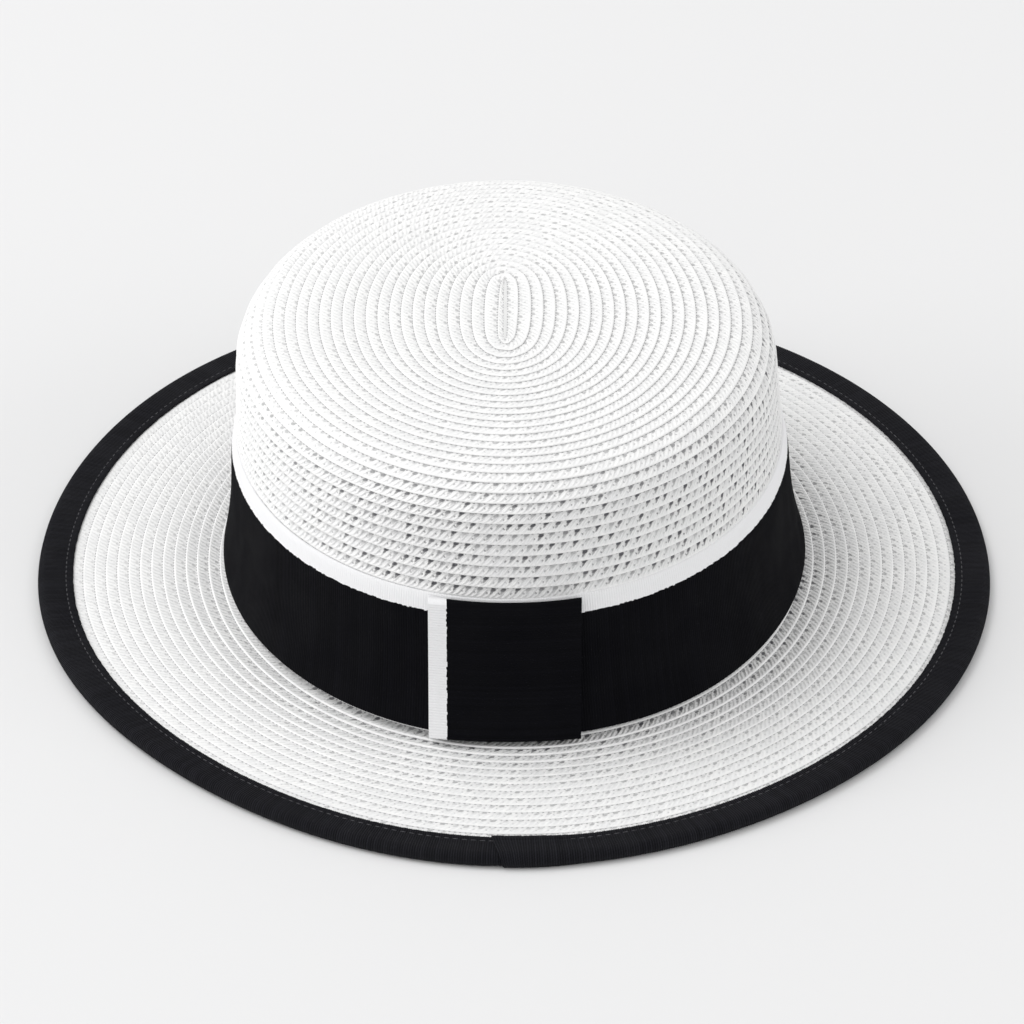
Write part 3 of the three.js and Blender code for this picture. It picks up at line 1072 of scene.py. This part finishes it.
bead = first_stitch()
row_length = oval_walk(STITCH_RADIUS, 0, math.tau)[1][-1]
stitch_count = int(row_length / STITCH_PITCH)
stitches = stitch_row(bead, GAP + TAPE - TOP_SINK, stitch_count)
stitches += stitch_row(bead, -STRAW - GAP - TAPE + UNDER_SINK, stitch_count)
bpy.data.objects.remove(bead)
bpy.ops.object.select_all(action="DESELECT")
for copy in stitches:
    copy.select_set(True)
bpy.context.view_layer.objects.active = stitches[0]
bpy.ops.object.join()
bpy.ops.object.transform_apply(location=True, rotation=True, scale=True)
thread = bpy.context.object
thread.name = "binding_stitches"
bpy.ops.object.shade_smooth()
print(stitch_count, "stitches on each face")

# %% Thread finish
THREAD_DARK = (0.02, 0.02, 0.024, 1)
THREAD_HIGHLIGHT = (0.08, 0.08, 0.088, 1)


def thread_finish():
    """Grey thread, painted lighter on the turns of its twist as a highlight."""
    material, tree, shader = new_finish("grey_sewing_thread", 0.5)
    grain = use_group(tree, GRAIN, Scale=THREAD_GRAIN)
    twist = fade(tree, grain["Fine"], 0.35, 0.65)
    # Painted highlight: lighter where the grain's bump stands high.
    feed(tree, shader.inputs["Base Color"], blend_colour(tree, twist, THREAD_DARK, THREAD_HIGHLIGHT))
    raise_surface(tree, shader, twist, 0.05 * MM, 0.6)
    return material


THREAD_FINISH = thread_finish()
dress(thread, None, THREAD_FINISH)
print("finish:", THREAD_FINISH.name)

# %% [markdown]
# ## The ribbon band
# The ribbon is pulled tight round the crown and tacked under the bow. Its upper edge hugs the wall,
# and its lower edge springs out over the curve where the crown meets the brim.

# %% The band
RIBBON_CLOTH = 0.7 * MM
RIBBON_RIB = 0.8 * MM
RIBBON_BOTTOM = band_low.z
RIBBON_TOP = band_high.z
TOP_HUG = 0.95 * MM
HUG_HEIGHT = 9 * MM
LOOSE_HEIGHT = 16 * MM
EDGE_CLOTH = 0.15 * MM
RIBBON_CREST = 0.04


def flared_radius_at(z):
    """Half width of the ribbon's outer face, which springs out below."""
    above = np.clip((z - RIBBON_BOTTOM) / FLARE_HEIGHT, 0, 1)
    return wall_radius_at(z) + GAP + TAPE + RIBBON_FLARE * (1 - above) ** 2


def ribbon_radius_at(z):
    """The same, with the ribbon's upper edge pulled in to the wall."""
    hug = TOP_HUG * np.clip((z - RIBBON_TOP + HUG_HEIGHT) / HUG_HEIGHT, 0, 1) ** 2
    return flared_radius_at(z) - hug


def band_section():
    """Heights round the ribbon's section, how far in each lies, and where its ribs show."""
    drop = np.array([0, 0.35, 2.0, 5.2, 8, 12, 16, 20, 25, 30, 35, 39, 41.1, 41.5]) * MM
    outside = RIBBON_TOP - drop
    inside = RIBBON_TOP - np.array([41.5, 35, 25, 14, 5, 0]) * MM
    heights = np.concatenate((outside, inside, outside[:1]))
    inward = np.concatenate((np.zeros(len(outside)), np.ones(len(inside)), [0])) * RIBBON_CLOTH
    inward[[0, len(outside) - 1, -1]] = EDGE_CLOTH
    ribbed = np.concatenate((np.ones(len(outside)), np.zeros(len(inside)), [1]))
    return heights, inward, ribbed


def wind_band():
    """The band, and the length of the ribbon round the crown's foot."""
    heights, inward, ribbed = band_section()
    fine, gone = oval_walk((band_high.x - band_low.x) / 2, -math.pi / 2, 1.5 * math.pi)
    count = int(gone[-1] / RIBBON_RIB) * 2
    walk = np.linspace(0, gone[-1], count + 1)
    angle = np.interp(walk, gone, fine)
    crest = up_and_down(count + 1) * ribbed * RIBBON_CREST * MM
    wave = 0.22 * MM * np.sin(angle * 3 + 0.6) + 0.12 * MM * np.sin(angle * 7 + 2)
    low = np.clip((RIBBON_BOTTOM + LOOSE_HEIGHT - heights) / LOOSE_HEIGHT, 0, 1) ** 2
    radius = ribbon_radius_at(heights) - inward + crest + wave[:, None] * low
    turn = np.broadcast_to(angle[:, None], radius.shape)
    level = np.broadcast_to(heights, radius.shape)
    side = radius * np.cos(turn) + lean_at(level)
    points = np.stack((side, half_length_at(radius) * np.sin(turn), level), -1)
    ribs = np.broadcast_to((np.arange(count + 1) / 2)[:, None], radius.shape)
    across = np.broadcast_to((RIBBON_TOP - heights) / MM, radius.shape)
    pattern = np.stack((ribs, across), -1)
    return strip_piece("crown_ribbon", points, pattern, close_ends=True), gone[-1]


band, band_length = wind_band()
dress(band, "ribbon_band", RIBBON_FINISH)
print("band is", round(band_length, 3), "m round")

# %% [markdown]
# ## The flat bow
# The bow of a boater is a plain short loop of the same ribbon, pressed flat and turned upright, so
# its stripe stands at the left. The loop is swept round as a strip with a real thickness: its back
# lies on the band, its front is rounded less, and its two sides stay open like any pressed loop.
# It stands straight, although the crown behind it leans.

# %% The bow
BOW_CLOTH = 0.55 * MM
BOW_DEPTH = 1.6 * MM
BOW_ROUND = 140 * MM
BOW_MIDDLE = -2.6 * MM
BOW_HALF = 21.5 * MM
FRONT_POINTS = 103
BACK_POINTS = 25
FOLD_STEPS = 8


def loop_line(shrink):
    """The pressed loop seen from its side: depth from the band, and height."""
    edge = BOW_DEPTH / 2
    radius = edge - shrink
    top = bow_high.z - edge
    bottom = bow_low.z + edge
    up = np.linspace(bottom, top, FRONT_POINTS)
    over = arc((edge, top), radius, 0, math.pi, FOLD_STEPS)[1:-1]
    down = np.linspace(top, bottom, BACK_POINTS)
    back = arc((edge, bottom), radius, math.pi, math.tau, FOLD_STEPS)[1:-1]
    front = np.column_stack((np.full(len(up), edge + radius), up))
    rear = np.column_stack((np.full(len(down), edge - radius), down))
    return np.vstack((front, over, rear, back, front[:1]))


def press_bow():
    """The bow, and the length of the ribbon in its loop."""
    outer, inner = loop_line(0), loop_line(BOW_CLOTH)
    sides = np.array([-1, -0.985, -0.9, -0.78, -0.6, -0.4, -0.2, 0, 0.2, 0.4, 0.6, 0.8, 0.985, 1])
    back_sides = sides[::-3]
    across = np.concatenate((sides, back_sides, sides[:1]))
    is_inner = np.concatenate((np.zeros(len(sides)), np.ones(len(back_sides)), [0]))
    x = across * BOW_HALF
    line = outer[:, None] * (1 - is_inner)[:, None] + inner[:, None] * is_inner[:, None]
    depth, height = line[..., 0], line[..., 1]
    crest = up_and_down(len(outer)) * (1 - is_inner) * RIBBON_CREST * MM
    radius = flared_radius_at(height)
    place_x = np.broadcast_to(x + BOW_MIDDLE, height.shape)
    from_band = place_x - lean_at(height)
    rear = half_length_at(radius) * np.sqrt(1 - (from_band / radius) ** 2) + GAP
    face = half_length_at(radius) + GAP + BOW_DEPTH - x ** 2 / (2 * BOW_ROUND)
    share = depth / BOW_DEPTH
    y = -(rear + (face - rear) * share + crest * (share > 0.5))
    points = np.stack((place_x, y, height), -1)
    gone = np.concatenate(([0], np.cumsum(np.hypot(*np.diff(outer, axis=0).T))))
    ribs = np.broadcast_to((np.arange(len(outer)) / 2)[:, None], y.shape)
    pattern = np.stack((ribs, np.broadcast_to((x + BOW_HALF) / MM, y.shape)), -1)
    return strip_piece("bow_loop", points, pattern, close_ends=True), gone[-1]


bow, bow_length = press_bow()
dress(bow, "flat_bow", RIBBON_FINISH)
print("bow loop is", round(bow_length, 3), "m round")
